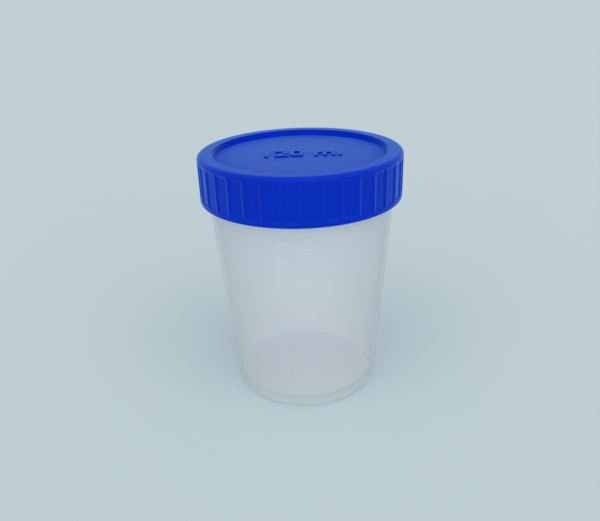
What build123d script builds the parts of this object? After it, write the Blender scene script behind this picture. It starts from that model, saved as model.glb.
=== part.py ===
# Wide-mouth specimen cup with a ribbed screw lid, both moulded in polypropylene.
# Millimetres, +Z up. The origin is the centre of the foot, on the surface the cup stands on.

import os
from math import cos, hypot, pi, radians, sin

from build123d import *

# Cup body
cup_height = 76.0
foot_radius = 23.5
neck_radius = 28.6
neck_height = 10.8
cup_wall = 1.1
floor_thickness = 1.3
floor_corner_radius = 2.0
rim_rounding = 0.35

# Foot of the cup: a flat ring round a raised floor, with the gate mark in its middle
foot_recess = 1.2
foot_land_width = 1.0
heel_radius = 1.2
gate_mark_radius = 1.6
gate_mark_height = 0.4

# Screw thread on the neck
thread_pitch = 3.6
thread_turns = 1.5
thread_height = 0.65
thread_root_width = 1.6
thread_crest_width = 0.6
thread_runout_angle = 14.0
thread_below_rim = 2.8
thread_sink = 0.3

# Lid
lid_height = 14.0
lid_top_wall = 1.35
lid_edge_radius = 1.6
lid_base_chamfer = 0.3
skirt_wall = 1.0
bore_lead_in = 0.35
recess_depth = 2.0
recess_edge_chamfer = 0.25

# Grip ribs, which stand between grooves in the outside of the skirt.
# The skirt is plain above the grooves, under the rounded edge, and again at its open end.
rib_count = 36
rib_width = 1.8
rib_land_width = 0.5
rib_height = 0.45
upper_band_width = 0.2
base_band_width = 1.6
groove_runout = 0.5

# Plug ring that seals inside the mouth
plug_wall = 0.9
plug_engagement = 3.2
plug_lead_in = 0.4

# Clearances between the cup and the lid
thread_clearance = 0.3
plug_clearance = 0.2
seat_gap = 0.15

# Sizes that follow from the ones above
mouth_radius = neck_radius - cup_wall
neck_bottom = cup_height - neck_height
foot_ring_inner_radius = foot_radius - heel_radius - foot_land_width
floor_top = foot_recess + floor_thickness
cone_slope = (neck_radius - foot_radius) / neck_bottom
floor_corner_x = foot_radius + cone_slope * floor_top - cup_wall

bore_radius = neck_radius + thread_height + thread_clearance
groove_floor_radius = bore_radius + skirt_wall
lid_radius = groove_floor_radius + rib_height
plug_radius = mouth_radius - plug_clearance
recess_radius = plug_radius - plug_wall
lid_seat = cup_height + seat_gap
lid_top = lid_seat + lid_top_wall
lid_bottom = lid_top - lid_height
groove_top = lid_top - lid_edge_radius - upper_band_width
groove_bottom = lid_bottom + base_band_width
recess_floor = lid_top - recess_depth
panel_underside = recess_floor - lid_top_wall
plug_bottom = cup_height - plug_engagement


def points(corners):
    return [(x, z) for x, z, rounding in corners]


def roundings(corners):
    return [rounding for x, z, rounding in corners]


# The wall section, from the middle of the floor out to the foot and up to the rim.
# Each corner is its radius from the axis, its height and its rounding.
cup_corners = [
    (0, floor_top, 0),
    (0, foot_recess - gate_mark_height, 0),
    (gate_mark_radius, foot_recess - gate_mark_height, 0),
    (gate_mark_radius, foot_recess, 0),
    (foot_ring_inner_radius, foot_recess, 0),
    (foot_ring_inner_radius, 0, 0),
    (foot_radius, 0, heel_radius),
    (neck_radius, neck_bottom, 0),
    (neck_radius, cup_height, rim_rounding),
    (mouth_radius, cup_height, rim_rounding),
    (mouth_radius, neck_bottom, 0),
    (floor_corner_x, floor_top, floor_corner_radius),
]

with BuildPart() as cup_shell:
    with BuildSketch(Plane.XZ) as cup_section:
        with BuildLine() as cup_outline:
            FilletPolyline(points(cup_corners), radius=roundings(cup_corners), close=True)
        make_face()
    revolve(axis=Axis.Z)

# The thread is one ridge with sloping flanks, wound on the neck and sunk a little into it.
thread_start = cup_height - thread_below_rim - thread_pitch * thread_turns
thread_path = Helix(thread_pitch, thread_pitch * thread_turns, neck_radius, center=(0, 0, thread_start))
thread_end_angle = 360 * thread_turns


def ridge_plane(angle):
    # Stands across the ridge, with its x axis pointing out from the neck.
    turn = radians(angle)
    return Plane(
        origin=(
            neck_radius * cos(turn),
            neck_radius * sin(turn),
            thread_start + thread_pitch * angle / 360,
        ),
        x_dir=(cos(turn), sin(turn), 0),
        z_dir=(-sin(turn), cos(turn), thread_pitch / (2 * pi * neck_radius)),
    )


def ridge_corners(height):
    return [
        (-thread_sink, -thread_root_width / 2),
        (height, -thread_crest_width / 2),
        (height, thread_crest_width / 2),
        (-thread_sink, thread_root_width / 2),
    ]


with BuildPart() as thread:
    with BuildSketch(ridge_plane(0)) as ridge_section:
        Polygon(ridge_corners(thread_height), align=None)
    sweep(path=thread_path, is_frenet=True)
    # At each end the ridge runs out into the neck.
    for full_angle, faded_angle in (
        (0, -thread_runout_angle),
        (thread_end_angle, thread_end_angle + thread_runout_angle),
    ):
        with BuildSketch(ridge_plane(full_angle)) as full_section:
            Polygon(ridge_corners(thread_height), align=None)
        with BuildSketch(ridge_plane(faded_angle)) as faded_section:
            Polygon(ridge_corners(-thread_sink / 2), align=None)
        loft(ruled=True)

with BuildPart() as cup:
    add(cup_shell.part)
    add(thread.part)

cup.part.label = "cup"

# The outside of the lid: a disc with a rounded edge and a shallow round recess in its top.
lid_corners = [
    (0, lid_bottom, 0),
    (lid_radius - lid_base_chamfer, lid_bottom, 0),
    (lid_radius, lid_bottom + lid_base_chamfer, 0),
    (lid_radius, lid_top, lid_edge_radius),
    (recess_radius + recess_edge_chamfer, lid_top, 0),
    (recess_radius, lid_top - recess_edge_chamfer, 0),
    (recess_radius, recess_floor, 0),
    (0, recess_floor, 0),
]

# The inside: the threaded bore, the seat for the rim and the ring that plugs the mouth.
lid_cavity_corners = [
    (0, lid_bottom),
    (bore_radius + bore_lead_in, lid_bottom),
    (bore_radius, lid_bottom + bore_lead_in),
    (bore_radius, lid_seat),
    (plug_radius, lid_seat),
    (plug_radius, plug_bottom + plug_lead_in),
    (plug_radius - plug_lead_in, plug_bottom),
    (recess_radius, plug_bottom),
    (recess_radius, panel_underside),
    (0, panel_underside),
]

# The flanks of a rib are round, on a circle through its root and the edges of its land.
rib_centre_depth = (rib_width**2 - rib_land_width**2 - 4 * rib_height**2) / (8 * rib_height)
rib_flank_radius = hypot(rib_width / 2, rib_centre_depth)

with BuildPart() as grip_grooves:
    with BuildSketch(Plane.XY.offset(lid_bottom)) as groove_outline:
        Circle(lid_radius + rib_height)
        Circle(groove_floor_radius, mode=Mode.SUBTRACT)
        with PolarLocations(groove_floor_radius - rib_centre_depth, rib_count):
            Circle(rib_flank_radius, mode=Mode.SUBTRACT)
    extrude(amount=lid_height)
    # At both ends the grooves slope out to the plain bands.
    with BuildSketch(Plane.XZ) as groove_reach:
        with BuildLine() as groove_reach_outline:
            Polyline(
                (0, groove_bottom + groove_runout),
                (groove_floor_radius, groove_bottom + groove_runout),
                (lid_radius + rib_height, groove_bottom - groove_runout),
                (lid_radius + rib_height, groove_top + groove_runout),
                (groove_floor_radius, groove_top - groove_runout),
                (0, groove_top - groove_runout),
                close=True,
            )
        make_face()
    revolve(axis=Axis.Z, mode=Mode.INTERSECT)

with BuildPart() as lid:
    with BuildSketch(Plane.XZ) as lid_section:
        with BuildLine() as lid_outline:
            FilletPolyline(points(lid_corners), radius=roundings(lid_corners), close=True)
        make_face()
    revolve(axis=Axis.Z)
    with BuildSketch(Plane.XZ) as cavity_section:
        with BuildLine() as cavity_outline:
            Polyline(lid_cavity_corners, close=True)
        make_face()
    revolve(axis=Axis.Z, mode=Mode.SUBTRACT)
    add(grip_grooves.part, mode=Mode.SUBTRACT)

lid.part.label = "lid"

os.makedirs("parts", exist_ok=True)
export_step(cup.part, "parts/cup.step")
export_step(lid.part, "parts/lid.step")
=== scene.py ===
from math import atan2, cos, hypot, pi, radians, sin, tan

import bmesh
import bpy
from mathutils import Matrix, Vector


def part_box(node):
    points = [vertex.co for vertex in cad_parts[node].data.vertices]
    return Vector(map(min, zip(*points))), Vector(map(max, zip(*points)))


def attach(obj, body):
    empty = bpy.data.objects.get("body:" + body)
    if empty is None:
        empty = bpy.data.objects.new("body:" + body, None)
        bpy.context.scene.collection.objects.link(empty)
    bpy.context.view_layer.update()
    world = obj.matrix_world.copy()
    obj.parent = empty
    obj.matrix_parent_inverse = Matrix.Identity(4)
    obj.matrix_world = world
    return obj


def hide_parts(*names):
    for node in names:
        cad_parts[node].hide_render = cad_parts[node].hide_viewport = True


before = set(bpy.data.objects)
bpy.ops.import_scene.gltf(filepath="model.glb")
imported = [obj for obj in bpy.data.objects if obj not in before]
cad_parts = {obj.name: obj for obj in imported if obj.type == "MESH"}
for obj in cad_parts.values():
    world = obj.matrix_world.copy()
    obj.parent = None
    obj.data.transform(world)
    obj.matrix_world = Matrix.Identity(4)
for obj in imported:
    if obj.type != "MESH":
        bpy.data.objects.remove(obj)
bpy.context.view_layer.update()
mm = 0.001
arcSegments = 6  # along every rounded corner of a section
mergeDistance = 0.002 * mm
creaseAngle = radians(40)  # faces that meet at more than this keep a crease
print("frame loaded:", ", ".join(sorted(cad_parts)))


# Mesh helpers

def newObject(name, data):
    item = bpy.data.objects.new(name, data)
    bpy.context.scene.collection.objects.link(item)
    return item


def newMesh(name, bm):
    mesh = bpy.data.meshes.new(name)
    bm.to_mesh(mesh)
    bm.free()
    return mesh


def finishedMesh(item):
    # A new mesh of a text, or of an object with its shown modifiers applied
    bpy.context.view_layer.update()
    return bpy.data.meshes.new_from_object(item.evaluated_get(bpy.context.evaluated_depsgraph_get()))


def ease(share):
    # Runs from 0 to 1 with a gentle start and end
    share = min(1, max(0, share))
    return share * share * (3 - 2 * share)


def setRadius(vert, radius):
    # Moves a vertex straight out from the axis, or in towards it, to this radius
    stretch = radius / hypot(vert.co.x, vert.co.y)
    vert.co.x *= stretch
    vert.co.y *= stretch


def wireProfile(bm, corners):
    # Each corner is its radius from the axis, its height and its rounding, all in millimetres
    chain = [bm.verts.new((radius * mm, 0, height * mm)) for radius, height, rounding in corners]
    for pair in zip(chain, chain[1:]):
        bm.edges.new(pair)
    for vert, (radius, height, rounding) in zip(chain, corners):
        if rounding:
            before, after = (edge.other_vert(vert).co - vert.co for edge in vert.link_edges)
            setback = rounding * mm / tan(before.angle(after) / 2)
            bmesh.ops.bevel(bm, geom=[vert], offset=setback, segments=arcSegments, profile=0.5,
                            affect="VERTICES", material=-1)


def spinSector(bm, sectors, steps):
    # One of so many equal sectors, centred on the XZ plane
    sector = 2 * pi / sectors
    bmesh.ops.rotate(bm, verts=bm.verts, cent=(0, 0, 0), matrix=Matrix.Rotation(-sector / 2, 3, "Z"))
    bmesh.ops.spin(bm, geom=bm.verts[:] + bm.edges[:], cent=(0, 0, 0), axis=(0, 0, 1),
                   angle=sector, steps=steps)


def repeatSector(bm, sectors):
    # Copies the sector all the way round and closes the seams and the poles
    bmesh.ops.spin(bm, geom=bm.verts[:] + bm.edges[:] + bm.faces[:], cent=(0, 0, 0), axis=(0, 0, 1),
                   angle=2 * pi * (sectors - 1) / sectors, steps=sectors - 1, use_duplicate=True)
    bmesh.ops.remove_doubles(bm, verts=bm.verts, dist=mergeDistance)
    bmesh.ops.recalc_face_normals(bm, faces=bm.faces)


def smoothShade(mesh):
    # Smooth everywhere except at the creases
    bm = bmesh.new()
    bm.from_mesh(mesh)
    for face in bm.faces:
        face.smooth = True
    for edge in bm.edges:
        edge.smooth = edge.calc_face_angle(0) < creaseAngle
    bm.to_mesh(mesh)
    bm.free()


def addPiece(name, bm, body, material):
    mesh = newMesh(name, bm)
    smoothShade(mesh)
    mesh.materials.append(material)
    piece = newObject(name, mesh)
    weighted = piece.modifiers.new("evenShading", "WEIGHTED_NORMAL")
    weighted.keep_sharp = True
    weighted.weight = 100
    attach(piece, body)
    return piece


def weldOn(piece, bm):
    # Joins a closed ridge to a piece as one skin
    ridge = newObject("ridge", newMesh("ridge", bm))
    weighted = piece.modifiers["evenShading"]
    weighted.show_viewport = False
    union = piece.modifiers.new("union", "BOOLEAN")
    union.operation = "UNION"
    union.solver = "EXACT"
    union.object = ridge
    welded = finishedMesh(piece)
    welded.name = piece.data.name
    piece.modifiers.remove(union)
    weighted.show_viewport = True
    piece.data = welded
    smoothShade(welded)
    bpy.data.objects.remove(ridge)


def textMesh(words, size, depth, rounding, boldness=0):
    # Upright relief lettering, centred, lying in the XY plane with its face towards +Z
    curve = bpy.data.curves.new("figure", "FONT")
    curve.body = words
    curve.size = size * mm
    curve.align_x = "CENTER"
    curve.align_y = "CENTER"
    curve.extrude = depth * mm / 2
    curve.offset = boldness * mm
    curve.bevel_depth = rounding * mm
    curve.bevel_resolution = 1
    curve.resolution_u = 4
    text = newObject("figure", curve)
    mesh = finishedMesh(text)
    bpy.data.objects.remove(text)
    bm = bmesh.new()
    bm.from_mesh(mesh)
    bpy.data.meshes.remove(mesh)
    bmesh.ops.remove_doubles(bm, verts=bm.verts, dist=mergeDistance)
    return bm


# Materials

mouldMarks = {
    "grainDetail": 2,
    "grainRelief": 0.02 * mm,
    "waveScale": 90,
    "waveDetail": 1,
    "waveRelief": 0.4 * mm,
    "hazeScale": 40,
    "hazeDetail": 1,
    "hazeRange": (0.3, 0.7),
}

naturalPlastic = {
    "color": (0.690, 0.728, 0.755, 1),
    "hazeColor": (0.702, 0.736, 0.760, 1),
    "alpha": 0.30,  # how much each face's milkiness hides what lies behind it
    "roughness": 0.38,
    "haze": 0.06,
    "grainScale": 1400,
    "grainDepth": 0.05,
    "waveDepth": 0,
    "ior": 1.49,
    "specular": 0.35,
    "lampTint": (0.92, 0.93, 0.94, 1),
}

bluePlastic = {
    "color": (0.0004, 0.020, 0.46, 1),
    "hazeColor": (0.0008, 0.024, 0.50, 1),
    "roughness": 0.46,
    "haze": 0.08,
    "grainScale": 2600,
    "grainDepth": 0.25,
    "waveDepth": 0.08,
    "ior": 1.49,
    "specular": 0.10,
    "specularTint": (0.4, 0.8, 1.0, 1),
    "sheen": 0.52,
    "sheenRoughness": 0.36,
    "sheenTint": (0.28, 0.80, 1.0, 1),
    "lampTint": (0.08, 0.28, 0.72, 1),
}


def addNoise(group, place, detail):
    noise = group.nodes.new("ShaderNodeTexNoise")
    noise.inputs["Detail"].default_value = detail
    group.links.new(place.outputs["Object"], noise.inputs["Vector"])
    return noise


def addBump(group, noise, strength, relief):
    bump = group.nodes.new("ShaderNodeBump")
    bump.inputs["Distance"].default_value = relief
    group.links.new(strength, bump.inputs["Strength"])
    group.links.new(noise.outputs["Fac"], bump.inputs["Height"])
    return bump


def makeMouldedSurface():
    # Shared by both plastics: fine mould grain, slow haze and the small waves that moulding leaves
    group = bpy.data.node_groups.new("mouldedSurface", "ShaderNodeTree")
    for name in ("Grain Scale", "Grain Depth", "Wave Depth", "Roughness", "Haze"):
        group.interface.new_socket(name, in_out="INPUT", socket_type="NodeSocketFloat")
    for name in ("Roughness", "Haze Mask"):
        group.interface.new_socket(name, in_out="OUTPUT", socket_type="NodeSocketFloat")
    group.interface.new_socket("Normal", in_out="OUTPUT", socket_type="NodeSocketVector")
    nodes, links = group.nodes, group.links
    inputs = nodes.new("NodeGroupInput")
    outputs = nodes.new("NodeGroupOutput")
    place = nodes.new("ShaderNodeTexCoord")

    haze = addNoise(group, place, mouldMarks["hazeDetail"])
    haze.inputs["Scale"].default_value = mouldMarks["hazeScale"]
    hazeMask = nodes.new("ShaderNodeMapRange")
    hazeMask.inputs["From Min"].default_value = mouldMarks["hazeRange"][0]
    hazeMask.inputs["From Max"].default_value = mouldMarks["hazeRange"][1]
    links.new(haze.outputs["Fac"], hazeMask.inputs["Value"])

    roughness = nodes.new("ShaderNodeMath")
    roughness.operation = "MULTIPLY_ADD"
    links.new(hazeMask.outputs["Result"], roughness.inputs[0])
    links.new(inputs.outputs["Haze"], roughness.inputs[1])
    links.new(inputs.outputs["Roughness"], roughness.inputs[2])

    grain = addNoise(group, place, mouldMarks["grainDetail"])
    links.new(inputs.outputs["Grain Scale"], grain.inputs["Scale"])
    grainBump = addBump(group, grain, inputs.outputs["Grain Depth"], mouldMarks["grainRelief"])

    wave = addNoise(group, place, mouldMarks["waveDetail"])
    wave.inputs["Scale"].default_value = mouldMarks["waveScale"]
    waveBump = addBump(group, wave, inputs.outputs["Wave Depth"], mouldMarks["waveRelief"])
    links.new(grainBump.outputs["Normal"], waveBump.inputs["Normal"])

    links.new(roughness.outputs["Value"], outputs.inputs["Roughness"])
    links.new(hazeMask.outputs["Result"], outputs.inputs["Haze Mask"])
    links.new(waveBump.outputs["Normal"], outputs.inputs["Normal"])
    return group


def placeMouldedSurface(nodes, plastic):
    surface = nodes.new("ShaderNodeGroup")
    surface.node_tree = mouldedSurface
    surface.inputs["Grain Scale"].default_value = plastic["grainScale"]
    surface.inputs["Grain Depth"].default_value = plastic["grainDepth"]
    surface.inputs["Wave Depth"].default_value = plastic["waveDepth"]
    surface.inputs["Roughness"].default_value = plastic["roughness"]
    surface.inputs["Haze"].default_value = plastic["haze"]
    return surface


def letLampsThrough(material, tint):
    # Lamps shine through a thin wall, in the plastic's own tint
    nodes, links = material.node_tree.nodes, material.node_tree.links
    rays = nodes.new("ShaderNodeLightPath")
    through = nodes.new("ShaderNodeBsdfTransparent")
    through.inputs["Color"].default_value = tint
    mix = nodes.new("ShaderNodeMixShader")
    links.new(rays.outputs["Is Shadow Ray"], mix.inputs["Fac"])
    links.new(nodes["Principled BSDF"].outputs["BSDF"], mix.inputs[1])
    links.new(through.outputs["BSDF"], mix.inputs[2])
    links.new(mix.outputs["Shader"], nodes["Material Output"].inputs["Surface"])


def makePlastic(name, plastic):
    # What the two plastics have in common
    material = bpy.data.materials.new(name)
    material.use_nodes = True
    nodes, links = material.node_tree.nodes, material.node_tree.links
    shader = nodes["Principled BSDF"]
    shader.inputs["IOR"].default_value = plastic["ior"]
    shader.inputs["Specular IOR Level"].default_value = plastic["specular"]
    surface = placeMouldedSurface(nodes, plastic)
    color = nodes.new("ShaderNodeMix")
    color.data_type = "RGBA"
    color.inputs["A"].default_value = plastic["color"]
    color.inputs["B"].default_value = plastic["hazeColor"]
    links.new(surface.outputs["Haze Mask"], color.inputs["Factor"])
    links.new(color.outputs["Result"], shader.inputs["Base Color"])
    links.new(surface.outputs["Roughness"], shader.inputs["Roughness"])
    links.new(surface.outputs["Normal"], shader.inputs["Normal"])
    letLampsThrough(material, plastic["lampTint"])
    return material, shader


def makeNaturalPlastic():
    material, shader = makePlastic("naturalPolypropylene", naturalPlastic)
    shader.inputs["Alpha"].default_value = naturalPlastic["alpha"]
    return material


def makeBluePlastic():
    material, shader = makePlastic("bluePolypropylene", bluePlastic)
    shader.inputs["Specular Tint"].default_value = bluePlastic["specularTint"]
    shader.inputs["Sheen Weight"].default_value = bluePlastic["sheen"]
    shader.inputs["Sheen Roughness"].default_value = bluePlastic["sheenRoughness"]
    shader.inputs["Sheen Tint"].default_value = bluePlastic["sheenTint"]
    return material


mouldedSurface = makeMouldedSurface()
cupMaterial = makeNaturalPlastic()
lidMaterial = makeBluePlastic()
print("plastics made")


# Cup body, sizes in millimetres

cup = {
    "height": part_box("cup")[1].z / mm,
    "footRadius": 23.5,
    "neckRadius": 28.6,
    "neckHeight": 10.8,
    "neckBlend": 6.0,
    "wall": 1.1,
    "floorThickness": 1.3,
    "floorCornerRadius": 2.0,
    "rimRounding": 0.4,
    "footRecess": 1.2,
    "footLandWidth": 1.0,
    "heelRadius": 1.2,
    "gateMarkRadius": 1.6,
    "gateMarkHeight": 0.4,
    "smallRounding": 0.15,
    "sectors": 32,
    "sectorSteps": 8,
}

# The screw thread on the neck, and the lid's own, which has the same section
thread = {
    "pitch": 3.6,
    "turns": 1.5,
    "height": 0.65,
    "rootWidth": 1.6,
    "crestWidth": 0.6,
    "runout": radians(14),
    "belowRim": 2.8,
    "sink": 0.3,
    "stepAngle": radians(2),
    "lidStart": radians(-90),
    "lidEnd": radians(360),
    "lidDrop": 1.4,  # the lid's ridge runs this far under the cup's
}

neckBottom = cup["height"] - cup["neckHeight"]
mouthRadius = cup["neckRadius"] - cup["wall"]
floorTop = cup["footRecess"] + cup["floorThickness"]
coneSlope = (cup["neckRadius"] - cup["footRadius"]) / neckBottom
floorRadius = cup["footRadius"] + coneSlope * floorTop - cup["wall"]
footRingInside = cup["footRadius"] - cup["heelRadius"] - cup["footLandWidth"]
gateBottom = cup["footRecess"] - cup["gateMarkHeight"]
threadStart = cup["height"] - thread["belowRim"] - thread["pitch"] * thread["turns"]


def ridgeHeight(angle):
    # Height of the middle of the neck's thread at this angle
    return threadStart + thread["pitch"] * angle / (2 * pi)


def windThread(wall, outward, startAngle, endAngle, startHeight):
    # A helical ridge on a round wall of radius wall; outward is 1 outside the wall and -1 inside it.
    # Its four-sided section is extruded step by step, and both ends fade into the wall.
    rootRadius = wall - outward * thread["sink"]
    crestRadius = wall + outward * thread["height"]
    fadeRadius = wall - outward * thread["sink"] / 2
    crestTolerance = 0.01 * mm
    section = (
        (rootRadius, -thread["rootWidth"] / 2),
        (crestRadius, -thread["crestWidth"] / 2),
        (crestRadius, thread["crestWidth"] / 2),
        (rootRadius, thread["rootWidth"] / 2),
    )
    steps = round((endAngle - startAngle) / thread["stepAngle"])
    stepAngle = (endAngle - startAngle) / steps
    stepRise = thread["pitch"] * mm * stepAngle / (2 * pi)

    bm = bmesh.new()
    first = [bm.verts.new((radius * mm, 0, (startHeight + height) * mm)) for radius, height in section]
    ring = [bm.edges.new((first[i - 1], first[i])) for i in range(len(first))]
    bmesh.ops.rotate(bm, verts=first, cent=(0, 0, 0), matrix=Matrix.Rotation(startAngle, 3, "Z"))
    rings = [first]
    for step in range(steps):
        grown = bmesh.ops.extrude_edge_only(bm, edges=ring)["geom"]
        verts = [item for item in grown if isinstance(item, bmesh.types.BMVert)]
        ring = [item for item in grown if isinstance(item, bmesh.types.BMEdge)
                and item.verts[0] in verts and item.verts[1] in verts]
        bmesh.ops.rotate(bm, verts=verts, cent=(0, 0, 0), matrix=Matrix.Rotation(stepAngle, 3, "Z"))
        bmesh.ops.translate(bm, verts=verts, vec=(0, 0, stepRise))
        rings.append(verts)

    for index, verts in enumerate(rings):
        share = min(1, index * stepAngle / thread["runout"], (steps - index) * stepAngle / thread["runout"])
        for vert in verts:
            radius = hypot(vert.co.x, vert.co.y)
            if abs(radius - crestRadius * mm) < crestTolerance:
                setRadius(vert, (fadeRadius + share * (crestRadius - fadeRadius)) * mm)
    bmesh.ops.holes_fill(bm, edges=bm.edges, sides=4)
    bmesh.ops.recalc_face_normals(bm, faces=bm.faces)
    return bm


def makeCupBody():
    small = cup["smallRounding"]
    bm = bmesh.new()
    wireProfile(bm, (
        (0, floorTop, 0),
        (floorRadius, floorTop, cup["floorCornerRadius"]),
        (mouthRadius, neckBottom, cup["neckBlend"]),
        (mouthRadius, cup["height"], cup["rimRounding"]),
        (cup["neckRadius"], cup["height"], cup["rimRounding"]),
        (cup["neckRadius"], neckBottom, cup["neckBlend"]),
        (cup["footRadius"], 0, cup["heelRadius"]),
        (footRingInside, 0, small),
        (footRingInside, cup["footRecess"], small),
        (cup["gateMarkRadius"], cup["footRecess"], small),
        (cup["gateMarkRadius"], gateBottom, small),
        (0, gateBottom, 0),
    ))
    spinSector(bm, cup["sectors"], cup["sectorSteps"])
    repeatSector(bm, cup["sectors"])
    body = addPiece("cupBody", bm, "cup", cupMaterial)
    startAngle = -thread["runout"]
    endAngle = 2 * pi * thread["turns"] + thread["runout"]
    weldOn(body, windThread(cup["neckRadius"], 1, startAngle, endAngle, ridgeHeight(startAngle)))
    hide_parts("cup")


makeCupBody()
print("cup body made")


# Graduations moulded on the front of the wall, in plain numbers of millilitres

scale = {
    "marks": (20, 40, 60, 80, 100),
    "lineStart": radians(-3),
    "lineEnd": radians(5),
    "lineWidth": 0.45,
    "lineSteps": 6,
    "relief": 0.14,
    "sink": 0.08,
    "numberAngle": radians(-9),
    "numberSize": 3.4,
    "numberRounding": 0.03,
    "unitRise": 4.6,  # how far the unit stands above the last number
}


def wallRadius(height):
    return cup["footRadius"] + coneSlope * height


def fillHeight(millilitres):
    # Height to which so much fills the cone inside the wall
    volume = millilitres * 1000
    inside = (floorRadius**3 + 3 * coneSlope * volume / pi) ** (1 / 3)
    return floorTop + (inside - floorRadius) / coneSlope


def wrapOnWall(bm, angle, height):
    # Bends flat relief round the front of the cup, which faces -Y
    for vert in bm.verts:
        z = height * mm + vert.co.y
        radius = wallRadius(z / mm) * mm + vert.co.z
        turn = angle + vert.co.x / radius
        vert.co = Vector((radius * sin(turn), -radius * cos(turn), z))


def addLabel(bm, words, height):
    label = textMesh(words, scale["numberSize"], scale["relief"] + scale["sink"], scale["numberRounding"])
    for vert in label.verts:
        vert.co.z += (scale["relief"] - scale["sink"]) / 2 * mm
    wrapOnWall(label, scale["numberAngle"], height)
    held = newMesh("label", label)
    bm.from_mesh(held)
    bpy.data.meshes.remove(held)


def addLine(bm, height):
    # A short ridge round the wall with sloping flanks
    radius = wallRadius(height)
    halfWidth = scale["lineWidth"] / 2
    corners = (
        (radius - scale["sink"], height - halfWidth),
        (radius + scale["relief"], height - halfWidth / 2),
        (radius + scale["relief"], height + halfWidth / 2),
        (radius - scale["sink"], height + halfWidth),
    )
    verts = [bm.verts.new((0, -out * mm, up * mm)) for out, up in corners]
    face = bm.faces.new(verts)
    bmesh.ops.rotate(bm, verts=verts, cent=(0, 0, 0), matrix=Matrix.Rotation(scale["lineStart"], 3, "Z"))
    bmesh.ops.spin(bm, geom=[face] + face.edges[:] + verts, cent=(0, 0, 0), axis=(0, 0, 1),
                   angle=scale["lineEnd"] - scale["lineStart"], steps=scale["lineSteps"])


def makeGraduations():
    bm = bmesh.new()
    for mark in scale["marks"]:
        addLabel(bm, str(mark), fillHeight(mark))
    addLabel(bm, "ml", fillHeight(scale["marks"][-1]) + scale["unitRise"])
    for mark in scale["marks"]:
        addLine(bm, fillHeight(mark))
    bmesh.ops.recalc_face_normals(bm, faces=bm.faces)
    addPiece("graduations", bm, "cup", cupMaterial)


makeGraduations()
print("graduations made")


# Lid, sizes in millimetres

lid = {
    "top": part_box("lid")[1].z / mm,
    "bottom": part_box("lid")[0].z / mm,
    "radius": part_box("lid")[1].x / mm,
    "edgeRadius": 1.6,
    "skirtWall": 1.0,
    "topWall": 1.35,
    "recessDepth": 2.0,
    "recessCornerRadius": 0.2,
    "recessEdgeRounding": 0.3,
    "plugClearance": 0.2,
    "plugWall": 0.9,
    "plugEngagement": 3.2,
    "plugLeadIn": 0.4,
    "leadIn": 0.35,
    "smallRounding": 0.18,
    "baseRounding": 0.3,
}

ribs = {
    "count": 36,
    "width": 2.2,
    "landWidth": 0.3,
    "height": 0.45,
    "upperBand": 0.2,
    "baseBand": 1.6,
    "runout": 0.5,
    "steps": 20,
    "keptWall": 0.6,  # the grooves move nothing that lies nearer to the bore than this
}

grooveTop = lid["top"] - lid["edgeRadius"] - ribs["upperBand"]
grooveBottom = lid["bottom"] + ribs["baseBand"]
boreRadius = lid["radius"] - ribs["height"] - lid["skirtWall"]
plugRadius = mouthRadius - lid["plugClearance"]
recessRadius = plugRadius - lid["plugWall"]
plugBottom = cup["height"] - lid["plugEngagement"]
lidSeat = lid["top"] - lid["topWall"]
recessFloor = lid["top"] - lid["recessDepth"]
panelUnderside = recessFloor - lid["topWall"]


def grooveDepth(angle):
    # How far the skirt lies inside the ribs' narrow lands at this angle, past their soft flanks
    pitch = 2 * pi / ribs["count"]
    across = abs((angle + pitch / 2) % pitch - pitch / 2) * (lid["radius"] - ribs["height"])
    flankStart = ribs["landWidth"] / 2
    flankEnd = ribs["width"] / 2
    return ribs["height"] * ease((across - flankStart) / (flankEnd - flankStart))


def cutGrooves(bm):
    for vert in bm.verts:
        radius = hypot(vert.co.x, vert.co.y)
        reach = min(grooveTop - vert.co.z / mm, vert.co.z / mm - grooveBottom)
        fade = ease(reach / (2 * ribs["runout"]) + 0.5)
        if not fade or radius < (boreRadius + ribs["keptWall"]) * mm:
            continue
        setRadius(vert, radius - fade * grooveDepth(atan2(vert.co.y, vert.co.x)) * mm)


def makeLidShell():
    small = lid["smallRounding"]
    grooveEnds = [(lid["radius"], end + ribs["runout"] * share, 0)
                  for end in (grooveTop, grooveBottom) for share in (1, 0.5, 0, -0.5, -1)]
    bm = bmesh.new()
    wireProfile(bm, (
        (0, recessFloor, 0),
        (recessRadius, recessFloor, lid["recessCornerRadius"]),
        (recessRadius, lid["top"], lid["recessEdgeRounding"]),
        (lid["radius"], lid["top"], lid["edgeRadius"]),
        *grooveEnds,
        (lid["radius"], lid["bottom"], lid["baseRounding"]),
        (boreRadius + lid["leadIn"], lid["bottom"], 0),
        (boreRadius, lid["bottom"] + lid["leadIn"], 0),
        (boreRadius, lidSeat, small),
        (plugRadius, lidSeat, small),
        (plugRadius, plugBottom + lid["plugLeadIn"], small),
        (plugRadius - lid["plugLeadIn"], plugBottom, small),
        (recessRadius, plugBottom, small),
        (recessRadius, panelUnderside, small),
        (0, panelUnderside, 0),
    ))
    spinSector(bm, ribs["count"], ribs["steps"])
    cutGrooves(bm)
    repeatSector(bm, ribs["count"])
    shell = addPiece("lidShell", bm, "lid", lidMaterial)
    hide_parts("lid")


def makeLidThread():
    startHeight = ridgeHeight(thread["lidStart"]) - thread["lidDrop"]
    bm = windThread(boreRadius, -1, thread["lidStart"], thread["lidEnd"], startHeight)
    addPiece("lidThread", bm, "lid", lidMaterial)


makeLidShell()
makeLidThread()
print("lid made")


# Capacity in plain figures, raised on the floor of the recess

figure = {
    "words": "120 ml",
    "size": 9.2,
    "relief": 0.5,
    "sink": 0.1,
    "rounding": 0.06,
    "boldness": 0.1,
    "centre": (0.3, 0.5),
}


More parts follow.
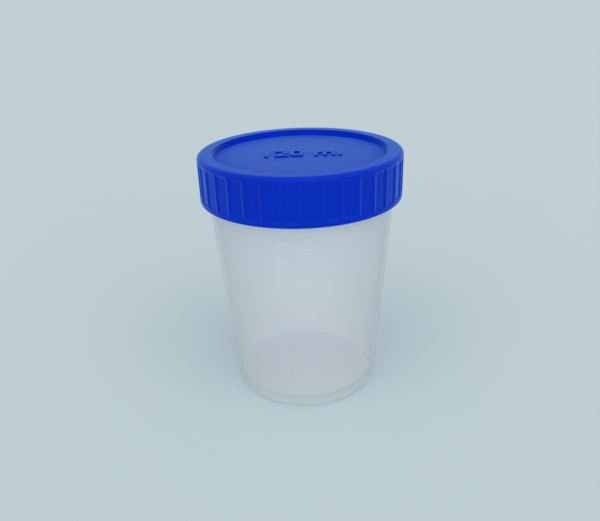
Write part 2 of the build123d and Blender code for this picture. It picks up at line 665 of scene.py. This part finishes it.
def makeLidFigure():
    depth = figure["relief"] + figure["sink"]
    bm = textMesh(figure["words"], figure["size"], depth, figure["rounding"], figure["boldness"])
    x, y = figure["centre"]
    z = recessFloor + (figure["relief"] - figure["sink"]) / 2
    bmesh.ops.translate(bm, verts=bm.verts, vec=(x * mm, y * mm, z * mm))
    addPiece("lidFigure", bm, "lid", lidMaterial)


makeLidFigure()
print("capacity figure made")


# Stage: pale floor, soft light, and the camera of the photograph

# Lengths in metres
stage = {
    "floorColor": (0.520, 0.622, 0.652, 1),
    "floorRoughness": 0.9,
    "floorSize": 60.0,
    "backdropColor": (0.521, 0.624, 0.658, 1),
    "roomColor": (1, 1, 1, 1),
    "roomStrength": 0.555,
    "lampStrength": 1.95,
    "lampSpread": radians(95),
    "lampFrom": (0.02, -0.80, 0.85),
}

# Lengths in millimetres and angles in radians
camera = {
    "focalPixels": 614.5,
    "imageWidth": 600,
    "sensorWidth": 36,
    "pitch": 0.42226,
    "roll": -0.03411,
    "yaw": -0.00597,
    "distance": 182.84,
    "height": 122.66,
    "clipStart": 10,
}


def makeFloor():
    bm = bmesh.new()
    bmesh.ops.create_grid(bm, x_segments=1, y_segments=1, size=stage["floorSize"] / 2)
    floor = newObject("floor", newMesh("floor", bm))
    material = bpy.data.materials.new("paleFloor")
    material.use_nodes = True
    shader = material.node_tree.nodes["Principled BSDF"]
    shader.inputs["Base Color"].default_value = stage["floorColor"]
    shader.inputs["Roughness"].default_value = stage["floorRoughness"]
    shader.inputs["Specular IOR Level"].default_value = 0
    floor.data.materials.append(material)


def makeRoom():
    # Lights evenly from all sides, and shows the camera a plain backdrop
    world = bpy.data.worlds.new("softRoom")
    bpy.context.scene.world = world
    world.use_nodes = True
    nodes, links = world.node_tree.nodes, world.node_tree.links
    nodes.clear()
    room = nodes.new("ShaderNodeBackground")
    room.inputs["Color"].default_value = stage["roomColor"]
    room.inputs["Strength"].default_value = stage["roomStrength"]
    backdrop = nodes.new("ShaderNodeBackground")
    backdrop.inputs["Color"].default_value = stage["backdropColor"]
    rays = nodes.new("ShaderNodeLightPath")
    mix = nodes.new("ShaderNodeMixShader")
    output = nodes.new("ShaderNodeOutputWorld")
    links.new(rays.outputs["Is Camera Ray"], mix.inputs["Fac"])
    links.new(room.outputs["Background"], mix.inputs[1])
    links.new(backdrop.outputs["Background"], mix.inputs[2])
    links.new(mix.outputs["Shader"], output.inputs["Surface"])


def makeLamp():
    lamp = bpy.data.lights.new("softLamp", "SUN")
    lamp.energy = stage["lampStrength"]
    lamp.angle = stage["lampSpread"]
    holder = newObject("softLamp", lamp)
    holder.location = stage["lampFrom"]
    holder.rotation_mode = "QUATERNION"
    holder.rotation_quaternion = (-Vector(stage["lampFrom"])).to_track_quat("-Z", "Y")


def makeCamera():
    pitch, roll, yaw = camera["pitch"], camera["roll"], camera["yaw"]
    forward = Vector((sin(yaw) * cos(pitch), cos(yaw) * cos(pitch), -sin(pitch)))
    level = Vector((cos(yaw), -sin(yaw), 0))
    upright = level.cross(forward)
    right = cos(roll) * level + sin(roll) * upright
    up = cos(roll) * upright - sin(roll) * level
    data = bpy.data.cameras.new("camera")
    data.sensor_fit = "HORIZONTAL"
    data.sensor_width = camera["sensorWidth"]
    data.lens = camera["focalPixels"] / camera["imageWidth"] * camera["sensorWidth"]
    data.clip_start = camera["clipStart"] * mm
    holder = newObject("camera", data)
    holder.location = (0, -camera["distance"] * mm, camera["height"] * mm)
    holder.rotation_mode = "QUATERNION"
    holder.rotation_quaternion = Matrix((right, up, -forward)).transposed().to_quaternion()
    bpy.context.scene.camera = holder


makeFloor()
makeRoom()
makeLamp()
makeCamera()
bpy.context.scene.view_settings.view_transform = "Standard"
print("stage made")
